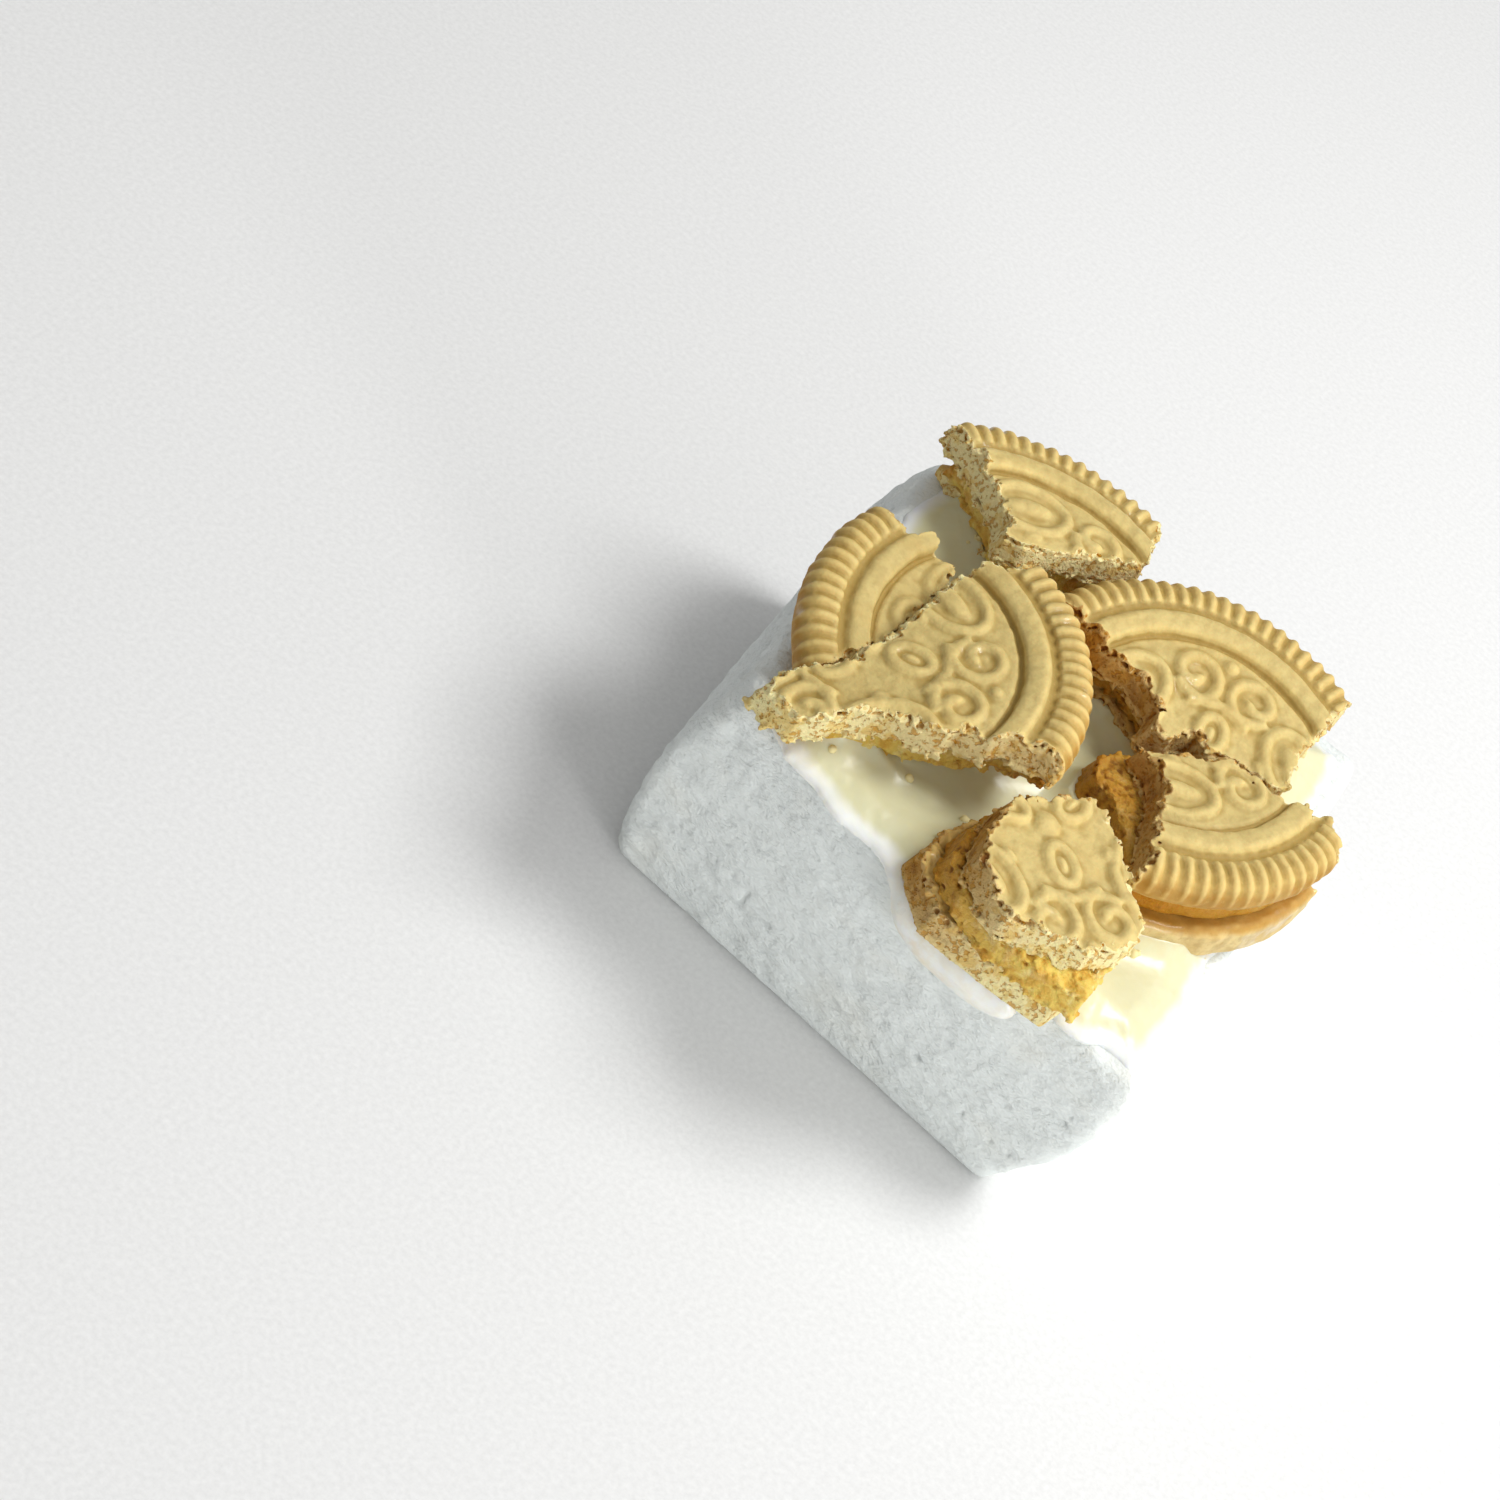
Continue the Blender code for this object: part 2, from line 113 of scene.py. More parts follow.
def number_property(name, description, default):
    return FloatProperty(name=name, description=description, default=default)


def colour_property(name, description, default):
    return FloatVectorProperty(
        name=name, description=description, subtype="COLOR", size=3, default=default)


class BlockLooks(bpy.types.PropertyGroup):
    step: number_property("Cell", "Size of the block's cells in millimetres", 0.38)
    swell: number_property("Swell", "Slow unevenness of the cut faces", 0.22)
    streak: number_property("Streaks", "Depth of the streaks the knife left", 0.16)
    pit: number_property("Pits", "Depth of the torn bubbles", 0.5)
    colour: colour_property("Colour", "The sponge's own white", (0.78, 0.82, 0.80))


class IcingLooks(bpy.types.PropertyGroup):
    step: number_property("Cell", "Size of the icing's cells in millimetres", 0.27)
    depth: number_property("Depth", "Thickness of the pour in millimetres", 1.5)
    climb: number_property("Climb", "How far the icing climbs a piece", 1.8)
    reach: number_property("Reach", "How far from a piece the climb starts", 1.3)
    colour: colour_property("Colour", "Icing where it lies thick", (0.72, 0.70, 0.45))
    thin_colour: colour_property("Thin colour", "Icing where it runs out", (0.87, 0.88, 0.83))
    stain_colour: colour_property("Stain", "Icing beside a piece, with crumb in it", (0.74, 0.55, 0.24))


class CookieLooks(bpy.types.PropertyGroup):
    step: number_property("Cell", "Size of a wafer's cells in millimetres", 0.15)
    plain_step: number_property("Plain cell", "Cells of cream and lower wafers", 0.2)
    ribs: IntProperty(name="Ribs", description="Ribs round the rim", default=80, min=8)
    rib_width: number_property("Rib width", "Width of a rib in millimetres", 1.15)
    line_width: number_property("Line width", "Width of the pressed lines", 1.5)
    repeats: IntProperty(name="Repeats", description="Times the ornament repeats round the face", default=3)
    crumb: number_property("Crumb", "Depth of the crumb at a break", 0.55)
    face_colour: colour_property("Face", "Pale baked face", (0.67, 0.52, 0.20))
    rim_colour: colour_property("Rim", "Golden rim", (0.62, 0.42, 0.13))
    edge_colour: colour_property("Edge", "Brown side of an upper wafer", (0.42, 0.21, 0.03))
    base_edge_colour: colour_property("Base edge", "Tan side of a lower wafer", (0.68, 0.53, 0.24))
    crumb_colour: colour_property("Crumb", "Pale crumb at a break", (0.95, 0.83, 0.42))
    honey_colour: colour_property("Honey", "Golden patches of the crumb", (0.78, 0.50, 0.09))
    pore_colour: colour_property("Pores", "Brown pores of the crumb", (0.60, 0.27, 0.012))
    # Painted shade: the dark brown painted on breaks recessed between pieces and turned from the key, and
    # in the deepest hollows of the crumb
    shaded_crumb_colour: colour_property("Shaded crumb", "Dark crumb of recessed breaks", (0.50, 0.205, 0.004))
    cream_colour: colour_property("Cream", "Lemon cream", (0.80, 0.58, 0.12))


class CrumbLooks(bpy.types.PropertyGroup):
    density: number_property("Density", "Crumbs on a square centimetre", 14.0)
    size: FloatProperty(
        name="Size", description="Radius of the largest crumb", default=0.00034, unit="LENGTH")
    seed: IntProperty(name="Seed", description="Where the crumbs fall", default=4)


class StageLooks(bpy.types.PropertyGroup):
    key: number_property("Key", "Power of the main light in watts", 1.2)
    fill: number_property("Fill", "Power of the fill light in watts", 0.72)
    sky: number_property("Sky", "Strength of the light from all round", 0.6)
    floor_colour: colour_property("Floor", "Plain pale floor", (0.92, 0.92, 0.91))


def settings(name):
    return getattr(bpy.context.scene, name)


# Places and axes


def top_matrix():
    """From the top's axes to the whole's, in millimetres."""
    return Matrix.Translation(TOP_PLACE) @ Matrix.Rotation(math.radians(TOP_TILT), 4, "Y")


def cookie_matrix(name):
    """From a cookie's own axes, with its face at z = 0, to the top's."""
    centre, lean, turn = COOKIE_PLACES[name]
    lean_x, lean_y = (math.tan(math.radians(angle)) for angle in lean)
    up = Vector((lean_x, lean_y, 1)).normalized()
    along = Vector((0, 1, 0)).cross(up).normalized()
    axes = Matrix((along, up.cross(along), up)).transposed().to_4x4()
    return Matrix.Translation(centre) @ axes @ Matrix.Rotation(math.radians(turn), 4, "Z")


def moved(points, matrix):
    """The points taken from one set of axes to another."""
    turn = np.array(matrix.to_3x3(), np.float32)
    return points @ turn.T + np.array(matrix.translation, np.float32)


def node_mesh(node):
    """A frame node's points, in the top's axes, and its triangles."""
    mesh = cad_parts[node].data
    mesh.calc_loop_triangles()
    points = np.empty(len(mesh.vertices) * 3, np.float32)
    mesh.vertices.foreach_get("co", points)
    triangles = np.empty(len(mesh.loop_triangles) * 3, np.int32)
    mesh.loop_triangles.foreach_get("vertices", triangles)
    points = moved(points.reshape(-1, 3) / MM, top_matrix().inverted())
    return points, triangles.reshape(-1, 3)


# Fields


class Cells:
    """A box of cells in some axes: its low corner, the size of a cell and the count each way."""

    def __init__(self, low, high, step):
        self.step = step
        self.first = np.floor(np.asarray(low) / step).astype(int)
        self.count = np.ceil(np.asarray(high) / step).astype(int) - self.first + 1

    def axes(self):
        return [
            ((first + np.arange(count)) * self.step).astype(np.float32)
            for first, count in zip(self.first, self.count)
        ]

    def points(self):
        return np.stack(np.meshgrid(*self.axes(), indexing="ij"), axis=-1).reshape(-1, 3)

    def part_of(self, values, inner):
        """The values on an inner box of cells of the same size."""
        low = inner.first - self.first
        cut = tuple(slice(start, start + count) for start, count in zip(low, inner.count))
        return values[cut]

    def sample(self, values, points):
        """The values at points between cells, blended from the eight round each."""
        place = points / self.step - self.first
        place = np.clip(place, 0, self.count - 1.001)
        low = place.astype(np.int32)
        part = (place - low).astype(np.float32)
        return blend_corners(values, low, part)


def blend_corners(values, low, part):
    total = np.zeros(len(low), np.float32)
    size = values.shape
    for corner in itertools.product((0, 1), repeat=3):
        weight = np.ones(len(low), np.float32)
        for axis, high in enumerate(corner):
            weight *= part[:, axis] if high else 1 - part[:, axis]
        x, y, z = ((low[:, axis] + corner[axis]) % size[axis] for axis in range(3))
        total += weight * values[x, y, z]
    return total


def clouds(points, size, seed):
    """Smooth chance values from -1 to 1; size is the distance from one to the next, on each axis."""
    values = np.random.default_rng(seed).uniform(-1, 1, (32, 32, 32)).astype(np.float32)
    place = points / np.asarray(size, np.float32)
    low = np.floor(place).astype(np.int32)
    part = (place - low).astype(np.float32)
    return blend_corners(values, low, part * part * (3 - 2 * part))


def ramp(value, low, high):
    """0 below low, 1 above high and a smooth rise between; low may be the larger."""
    part = np.clip((value - low) / (high - low), 0, 1)
    return part * part * (3 - 2 * part)


def soft_max(a, b, width):
    """The larger of two fields, with the edge between them rounded over that width."""
    near = np.clip(0.5 - 0.5 * (b - a) / width, 0, 1)
    return b + (a - b) * near + width * near * (1 - near)


def soft_min(a, b, width):
    return -soft_max(-a, -b, width)


def smoothed(values, times):
    for _ in range(times):
        for axis in range(3):
            ahead = np.take(values, np.r_[1:values.shape[axis], values.shape[axis] - 1], axis)
            behind = np.take(values, np.r_[0, 0:values.shape[axis] - 1], axis)
            values = 0.5 * values + 0.25 * (ahead + behind)
    return values


def mesh_field(points, triangles, cells, reach):
    """The field of closed meshes, which may overlap, true to within reach cells of the surface."""
    shape = {"transform": openvdb.createLinearTransform(voxelSize=cells.step), "halfWidth": reach}
    points = np.ascontiguousarray(points, np.float32)
    triangles = np.ascontiguousarray(triangles, np.uint32)
    grid = openvdb.FloatGrid.createLevelSetFromPolygons(points, triangles, **shape)
    # Made again from its own outside, so that no surface is left where the meshes overlap
    points, quads = grid.convertToQuads(0.0)
    grid = openvdb.FloatGrid.createLevelSetFromPolygons(points, quads=quads, **shape)
    values = np.empty(tuple(cells.count), np.float32)
    grid.copyToArray(values, ijk=tuple(int(first) for first in cells.first))
    return values


def disc_field(points, radius, top, foot, rounding):
    """A disc with rounded edges."""
    across = np.hypot(points[:, 0], points[:, 1]) - (radius - rounding)
    along = np.abs(points[:, 2] - (top + foot) / 2) - ((top - foot) / 2 - rounding)
    outside = np.hypot(np.maximum(across, 0), np.maximum(along, 0))
    return outside + np.minimum(np.maximum(across, along), 0) - rounding


def wall_lines(node, keep=lambda points: True, least_height=0.0):
    """The upright walls of a node, seen from above in the top's axes: starts, ends, outward normals."""
    points, triangles = node_mesh(node)
    walls = {}
    for corners in points[triangles]:
        normal = np.cross(corners[1] - corners[0], corners[2] - corners[0])
        size = np.linalg.norm(normal)
        if size < 1e-6 or abs(normal[2]) > 0.02 * size or not keep(corners):
            continue
        across = normal[:2] / np.linalg.norm(normal[:2])
        along = corners[:, :2] @ np.array((-across[1], across[0]))
        offset = float(corners[0, :2] @ across)
        key = (round(math.degrees(math.atan2(across[1], across[0]))), round(offset, 1))
        low, high, foot, top = walls.get(key, (1e9, -1e9, 1e9, -1e9))[:4]
        walls[key] = (
            min(low, along.min()), max(high, along.max()),
            min(foot, corners[:, 2].min()), max(top, corners[:, 2].max()), across, offset)
    starts, ends, normals = [], [], []
    for low, high, foot, top, across, offset in walls.values():
        if top - foot < least_height:
            continue
        tangent = np.array((-across[1], across[0]))
        starts.append(across * offset + tangent * low)
        ends.append(across * offset + tangent * high)
        normals.append(across)
    return np.array(starts), np.array(ends), np.array(normals)


def line_distance(places, lines):
    """Signed distance, seen from above, to the nearest wall: positive beyond it, where nothing is left."""
    starts, ends, normals = (part.astype(np.float32) for part in lines)
    best = np.full(len(places), 1e9, np.float32)
    found = np.zeros(len(places), np.float32)
    for start, end, normal in zip(starts, ends, normals):
        span = end - start
        away = places - start
        share = np.clip(away @ span / max(span @ span, 1e-9), 0, 1)
        distance = np.linalg.norm(away - share[:, None] * span, axis=1)
        beyond = away @ normal
        # At a shared corner the wall that is more face-on tells which side it is
        rank = distance - 1e-3 * np.abs(beyond)
        nearer = rank < best
        best[nearer] = rank[nearer]
        found[nearer] = (np.sign(beyond) * distance)[nearer]
    return found


# Meshes


def largest_piece(count, quads):
    """Which points belong to the largest connected piece."""
    label = np.arange(count)
    while True:
        lowest = label[quads].min(axis=1)
        new = label.copy()
        for corner in range(quads.shape[1]):
            np.minimum.at(new, quads[:, corner], lowest)
        new = new[new]
        if (new == label).all():
            break
        label = new
    names, sizes = np.unique(label, return_counts=True)
    return label == names[sizes.argmax()]


def field_mesh(name, values, cells, matrix):
    """The surface of a field as a mesh in the whole's axes, with its points in the field's axes too."""
    walls = np.pad(values[1:-1, 1:-1, 1:-1], 1, constant_values=cells.step)
    grid = openvdb.FloatGrid(cells.step * 3)
    grid.copyFromArray(np.clip(walls, -3 * cells.step, 3 * cells.step).astype(np.float32))
    points, quads = grid.convertToQuads(0.0)
    quads = quads.astype(np.int64)
    kept = largest_piece(len(points), quads)
    order = np.cumsum(kept) - 1
    quads = order[quads[kept[quads[:, 0]]]]
    own = (points[kept] + cells.first) * cells.step
    whole = moved(own, matrix) * MM
    corners = whole[quads]
    volume = np.einsum("ij,ij->", corners[:, 0], np.cross(corners[:, 1], corners[:, 2]))
    if volume < 0:
        quads = quads[:, ::-1]
    mesh = bpy.data.meshes.new(name)
    mesh.vertices.add(len(whole))
    mesh.vertices.foreach_set("co", whole.astype(np.float32).ravel())
    mesh.loops.add(quads.size)
    mesh.loops.foreach_set("vertex_index", quads.astype(np.int32).ravel())
    mesh.polygons.add(len(quads))
    mesh.polygons.foreach_set("loop_start", np.arange(0, quads.size, 4, dtype=np.int32))
    mesh.update(calc_edges=True)
    mesh.validate()
    mesh.shade_smooth()
    return mesh, own.astype(np.float32)


def attribute(mesh, name, values):
    if values.ndim == 1:
        made = mesh.attributes.new(name, "FLOAT", "POINT")
        made.data.foreach_set("value", values.astype(np.float32))
    else:
        made = mesh.attributes.new(name, "FLOAT_VECTOR", "POINT")
        made.data.foreach_set("vector", values.astype(np.float32).ravel())


def mark_hollows(mesh, values, cells, own, times, depth):
    """Keeps on the mesh how its points lie, from -1 on a ridge to 1 in a hollow of that depth."""
    lie = -cells.sample(smoothed(values, times), own) / depth
    attribute(mesh, "hollow", np.clip(lie, -1, 1))


def place_piece(name, mesh, material, slot, *nodes):
    """Puts a finished mesh in the scene as a piece of the whole, in place of the nodes."""
    piece = bpy.data.objects.new(name, mesh)
    bpy.context.scene.collection.objects.link(piece)
    mesh.materials.clear()
    mesh.materials.append(material)
    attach(piece, BODY)
    if nodes:
        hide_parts(*nodes)


# Shader expressions


class Value:
    """A node's output that takes part in sums; each sum adds its Math node."""

    def __init__(self, nodes, socket):
        self.nodes = nodes
        self.socket = socket

    def math(self, operation, *others):
        return self.nodes.math(operation, self, *others)

    def __add__(self, other):
        return self.math("ADD", other)

    def __mul__(self, other):
        return self.math("MULTIPLY", other)

    def __sub__(self, other):
        return self.math("SUBTRACT", other)

    def __rsub__(self, other):
        return self.nodes.math("SUBTRACT", other, self)

    def __rtruediv__(self, other):
        return self.nodes.math("DIVIDE", other, self)

    __radd__ = __add__
    __rmul__ = __mul__

    def span(self, low, high):
        """0 at low, 1 at high and a smooth rise between."""
        shape = {"interpolation_type": "SMOOTHSTEP"}
        if low > high:
            return 1 - self.span(high, low)
        return self.nodes.node("ShaderNodeMapRange", shape, {"Value": self, 1: low, 2: high})


class Nodes:
    """A node tree under construction."""

    def __init__(self, tree):
        self.tree = tree

    def node(self, kind, shape=None, sides=None, output=0):
        """Adds a node: its settings come first, then the values or links of its sockets."""
        made = self.tree.nodes.new(kind)
        for name, value in (shape or {}).items():
            setattr(made, name, value)
        for name, value in (sides or {}).items():
            self.feed(made.inputs[name], value)
        return Value(self, made.outputs[output])

    def feed(self, socket, value):
        if isinstance(value, list):
            for one in value:
                self.feed(socket, one)
        elif isinstance(value, Value):
            self.tree.links.new(value.socket, socket)
        elif socket.type == "RGBA":
            socket.default_value = (*value, 1)
        else:
            socket.default_value = value

    def math(self, operation, *values):
        return self.node("ShaderNodeMath", {"operation": operation}, dict(enumerate(values)))


class Shader(Nodes):
    """A material under construction, with Object coordinates in millimetres."""

    def __init__(self, name):
        self.material = bpy.data.materials.new(name)
        self.material.use_nodes = True
        super().__init__(self.material.node_tree)
        self.surface = self.tree.nodes["Principled BSDF"]
        place = self.node("ShaderNodeTexCoord", output="Object")
        self.place = self.scaled(place, (1 / MM,) * 3)

    def scaled(self, vector, factors):
        return self.node("ShaderNodeVectorMath", {"operation": "MULTIPLY"}, {0: vector, 1: factors})

    def own(self, name):
        """A value kept on the mesh's points."""
        return self.node("ShaderNodeAttribute", {"attribute_name": name}, output="Fac")

    def own_place(self, name):
        return self.node("ShaderNodeAttribute", {"attribute_name": name}, output="Vector")

    def noise(self, size, detail, stretch=(1, 1, 1)):
        """Chance values from 0 to 1; size is in millimetres."""
        vector = self.scaled(self.place, tuple(1 / part for part in stretch))
        sides = {"Vector": vector, "Scale": 1 / size, "Detail": detail, "Roughness": 0.6}
        return self.node("ShaderNodeTexNoise", sides=sides, output="Fac")

    def from_axis(self, place):
        """How far a place is from the Z axis."""
        flat = self.scaled(place, (1, 1, 0))
        return self.node("ShaderNodeVectorMath", {"operation": "LENGTH"}, {0: flat}, output="Value")

    def mix(self, share, first, second):
        """Two colours by a share of the second. The colour sockets of Mix are its seventh and eighth."""
        sides = {0: share, 6: first, 7: second}
        return self.node("ShaderNodeMix", {"data_type": "RGBA"}, sides, output=2)

    def bump(self, height, depth):
        """A normal from a height of 0 to 1, depth millimetres high."""
        sides = {"Height": height, "Distance": depth * MM, "Strength": 1.0}
        return self.node("ShaderNodeBump", sides=sides)

    def finish(self, varying, fixed):
        """Sets the surface: what changes over it, and what is the same all over."""
        for name, value in {**varying, **fixed}.items():
            self.feed(self.surface.inputs[name], value)
        return self.material


def tinted(colour, shares):
    """A colour with its channels scaled, by one share or by three."""
    return tuple(np.minimum(np.array(tuple(colour)) * shares, 1).tolist())


def sponge_material():
    looks = settings("block_looks")
    shader = Shader("torn_sponge")
    grain = shader.noise(0.9, 4, stretch=(1.4, 1, 0.9))
    patchy = shader.noise(5, 2).span(0.35, 0.65)
    powder = shader.noise(0.4, 2)
    hollow = shader.own("hollow")
    cream_white = (0.84, 0.83, 0.74)
    # Painted shade: the sponge's white is darkened in its hollows and torn bubbles
    shade = shader.mix(hollow.span(0.1, 0.9), looks.colour, tinted(looks.colour, 0.86))
    shade = shader.mix(shader.noise(9, 2).span(0.5, 0.75) * 0.3, shade, cream_white)
    swells = shader.noise(2.2, 3, stretch=(1.6, 1, 1))
    relief = swells * 0.4 + grain * (0.25 + 0.2 * patchy) + powder * 0.08
    normal = shader.bump(relief, 1.2)
    fixed = {
        "Roughness": 0.8, "Subsurface Weight": 0.1, "Subsurface Scale": 0.001,
        "Subsurface Radius": (1.0, 0.9, 0.8), "Sheen Weight": 0.1,
    }
    return shader.finish({"Base Color": shade, "Normal": normal}, fixed)


def icing_material():
    looks = settings("icing_looks")
    shader = Shader("set_icing")
    thick = shader.own("thick")
    uneven = shader.noise(5, 2) * 0.25
    colour = shader.mix((thick + uneven).span(0.12, 0.6), looks.thin_colour, looks.colour)
    stain = shader.own("near") * shader.noise(1.6, 3).span(0.35, 0.65)
    colour = shader.mix(stain * 0.35, colour, looks.stain_colour)
    normal = shader.bump(shader.noise(2.4, 2), 0.1)
    fixed = {
        "Subsurface Weight": 0.35, "Subsurface Scale": 0.0025, "Subsurface Radius": (1.0, 0.8, 0.4),
        "Coat Weight": 0.2, "Coat Roughness": 0.18,
    }
    rough = shader.noise(3, 2) * 0.2 + 0.22
    return shader.finish({"Base Color": colour, "Normal": normal, "Roughness": rough}, fixed)


# The painted deepest shade in the hollows of shaded breaks: its channels as shares of the shaded crumb
# colour's
DEEP_SHADE = (0.3, 0.15, 0.05)


def biscuit_material(name, colours, top, turn):
    """Baked face, browner towards the rim, with another colour down its side, and pale crumb in breaks.

    The side's colour comes in between the two depths of turn below the top.
    """
    face, rim, edge = colours
    looks = settings("cookie_looks")
    brown = looks.shaded_crumb_colour
    shader = Shader(name)
    own = shader.own_place("own")
    across = shader.from_axis(own)
    depth = top - shader.node("ShaderNodeSeparateXYZ", sides={0: own}, output="Z")
    hollow = shader.own("hollow")
    broken = shader.own("broken")
    toast = shader.own("toast")

    patches = shader.noise(4.5, 3) - 0.5
    baked = shader.mix((across + patches * 4).span(17.5, 22.3), face, rim)
    baked = shader.mix((depth + patches * 1.2).span(*turn), baked, edge)
    mottle = shader.noise(1.3, 5)
    baked = shader.mix(mottle.span(0.38, 0.66) * 0.35, baked, tinted(rim, 0.62))
    baked = shader.mix(shader.noise(6, 3).span(0.48, 0.66) * 0.3, baked, rim)
    # Painted shade: the pressed grooves and other hollows of the face are painted darker
    baked = shader.mix(hollow.span(0.0, 0.55) * 0.85, baked, tinted(face, (0.60, 0.50, 0.30)))
    # Painted highlight: the ridges are painted lighter
    baked = shader.mix((1 - hollow.span(-0.8, -0.1)) * 0.6, baked, tinted(face, 1.22))
    speckle = shader.noise(0.45, 3).span(0.58, 0.72)
    baked = shader.mix(speckle * 0.35, baked, rim)

    pores = shader.noise(0.62, 2).span(0.53, 0.62)
    inside = shader.mix(shader.noise(1.8, 3).span(0.5, 0.62) * 0.55, looks.crumb_colour, looks.honey_colour)
    # Pores of the crumb, and painted shade where the crumb lies in a hollow
    inside = shader.mix(hollow.span(0.1, 0.9) * 0.45 + pores * 0.7, inside, looks.pore_colour)
    # Painted shade: the deepest hollows of the crumb are painted brown
    inside = shader.mix(hollow.span(0.6, 1.0) * 0.25, inside, brown)
    # Painted shade: breaks recessed between pieces and turned from the key are painted dark brown, more
    # towards each piece's shaded end
    inside = shader.mix(toast * (0.75 + 0.25 * hollow.span(-0.6, 0.2)), inside, brown)
    # Painted deeper shade in the hollows and dark mottles of the shaded breaks
    deep_shade = toast * (hollow * 0.5 + mottle).span(0.4, 0.85)
    inside = shader.mix(deep_shade * 0.85, inside, tinted(brown, DEEP_SHADE))
    bite = shader.mix((broken + (shader.noise(0.6, 3) - 0.5) * 0.5).span(0.35, 0.65), baked, inside)

    grain = shader.noise(0.6, 3) * 0.2 + mottle * 0.3
    crumbs = shader.noise(0.42, 5) - pores * 0.4
    height = grain + (crumbs - grain) * broken
    normal = shader.bump(height, 0.4)
    wet = shader.noise(5.5, 2).span(0.62, 0.67)
    rough = 0.6 - wet * 0.3 + broken * 0.2
    varying = {"Base Color": bite, "Normal": normal, "Roughness": rough, "Coat Weight": wet * 0.3}
    fixed = {
        "Specular IOR Level": 0.25, "Subsurface Weight": 0.08, "Subsurface Scale": 0.001,
        "Coat Roughness": 0.2,
    }
    return shader.finish(varying, fixed)


def face_material():
    looks = settings("cookie_looks")
    colours = (looks.face_colour, looks.rim_colour, looks.edge_colour)
    return biscuit_material("baked_face", colours, 0.0, (0.8, 2.4))


def base_material():
    looks = settings("cookie_looks")
    colours = (looks.rim_colour, looks.edge_colour, looks.base_edge_colour)
    return biscuit_material("baked_base", colours, LAYERS["base"].top, (0.1, 0.9))


def cream_material():
    looks = settings("cookie_looks")
    shader = Shader("lemon_cream")
    cream, brown = looks.cream_colour, looks.shaded_crumb_colour
    pale = tinted(cream, (1.12, 1.25, 2.2))
    hollow = shader.own("hollow")
    across = shader.from_axis(shader.own_place("own"))
    colour = shader.mix(shader.noise(1.2, 4).span(0.5, 0.68), cream, pale)
    # Stains of crumb in the cream, and painted shade in its hollows
    stains_and_shade = shader.noise(1.8, 4).span(0.46, 0.62) * 0.55 + hollow.span(0.0, 0.8) * 0.5
    colour = shader.mix(stains_and_shade, colour, looks.pore_colour)
    # Painted shade: the cream's outer edge, recessed between the wafers, is painted brown
    rim = across.span(CREAM_RADIUS - 1.6, CREAM_RADIUS - 0.3)
    toast = shader.own("toast")
    # Painted shade: the shaded breaks and the recessed edge turn brown
    colour = shader.mix(toast * 0.9 + rim * 0.6, colour, brown)
    crumbly = shader.noise(0.9, 5)
    # Painted deeper shade in the hollows of the shaded breaks
    deep_shade = toast * (crumbly + hollow * 0.3).span(0.42, 0.75)
    colour = shader.mix(deep_shade * 0.85, colour, tinted(brown, DEEP_SHADE))
    normal = shader.bump(crumbly, 0.6)
    fixed = {
        "Roughness": 0.5, "Specular IOR Level": 0.3, "Subsurface Weight": 0.15,
        "Subsurface Scale": 0.0015,
    }
    return shader.finish({"Base Color": colour, "Normal": normal}, fixed)


def plain_material(name, colour, roughness):
    shader = Shader(name)
    shade = shader.mix(shader.noise(0.6, 2), colour, tinted(colour, 0.8))
    return shader.finish({"Base Color": shade}, {"Roughness": roughness})


# The pressed pattern


class Tree(Nodes):
    """A geometry node tree under construction."""

    def __init__(self, name, sizes):
        super().__init__(bpy.data.node_groups.new(name, "GeometryNodeTree"))
        face = self.tree.interface
        face.new_socket("Geometry", in_out="INPUT", socket_type="NodeSocketGeometry")
        face.new_socket("Geometry", in_out="OUTPUT", socket_type="NodeSocketGeometry")
        self.values = {}
        for size, (kind, default) in sizes.items():
            socket = face.new_socket(size, in_out="INPUT", socket_type=kind)
            if default is not None:
                socket.default_value = default
                self.values[socket.identifier] = default
        self.start = self.tree.nodes.new("NodeGroupInput")
        self.end = self.tree.nodes.new("NodeGroupOutput")

    def size(self, name):
        return Value(self, self.start.outputs[name])

    def joined(self, *parts):
        return self.node("GeometryNodeJoinGeometry", sides={0: list(parts)})

    def finish(self, geometry, material):
        """Makes every instance real and gives all of it one material."""
        real = self.node("GeometryNodeRealizeInstances", sides={"Geometry": geometry})
        coated = self.node("GeometryNodeSetMaterial", sides={"Geometry": real, "Material": material})
        self.feed(self.end.inputs[0], coated)

    def tube(self, curve, radius):
        """A round bar along a curve, with closed ends."""
        ring = self.node("GeometryNodeCurvePrimitiveCircle", sides={"Resolution": 10, "Radius": radius})
        sides = {"Curve": curve, "Profile Curve": ring, "Fill Caps": True}
        return self.node("GeometryNodeCurveToMesh", sides=sides)

    def placed(self, geometry, place=(0, 0, 0), turn=(0, 0, 0), scale=(1, 1, 1)):
        sides = {"Geometry": geometry, "Translation": place, "Rotation": turn, "Scale": scale}
        return self.node("GeometryNodeTransform", sides=sides)

    def round_axis(self, geometry, count, offset=0.0):
        """Copies of a shape that stands out along +X, turned round Z in even steps from offset."""
        angle = self.node("GeometryNodeInputIndex").math("MULTIPLY_ADD", math.tau / count, offset)
        axis = self.node("ShaderNodeCombineXYZ", sides={"Z": angle})
        points = self.node("GeometryNodePoints", sides={"Count": count})
        sides = {"Points": points, "Instance": geometry, "Rotation": axis}
        return self.node("GeometryNodeInstanceOnPoints", sides=sides)


def solid_from_tree(tree, mesh):
    """Runs a tree on a mesh, with its sizes set, and returns the plain mesh that it makes."""
    helper = bpy.data.objects.new("helper", mesh)
    bpy.context.scene.collection.objects.link(helper)
    modifier = helper.modifiers.new("Make", "NODES")
    modifier.node_group = tree.tree
    for identifier, value in tree.values.items():
        modifier[identifier] = value
    graph = bpy.context.evaluated_depsgraph_get()
    made = bpy.data.meshes.new_from_object(helper.evaluated_get(graph))
    helper.modifiers.clear()
    bpy.data.objects.remove(helper, do_unlink=True)
    return made


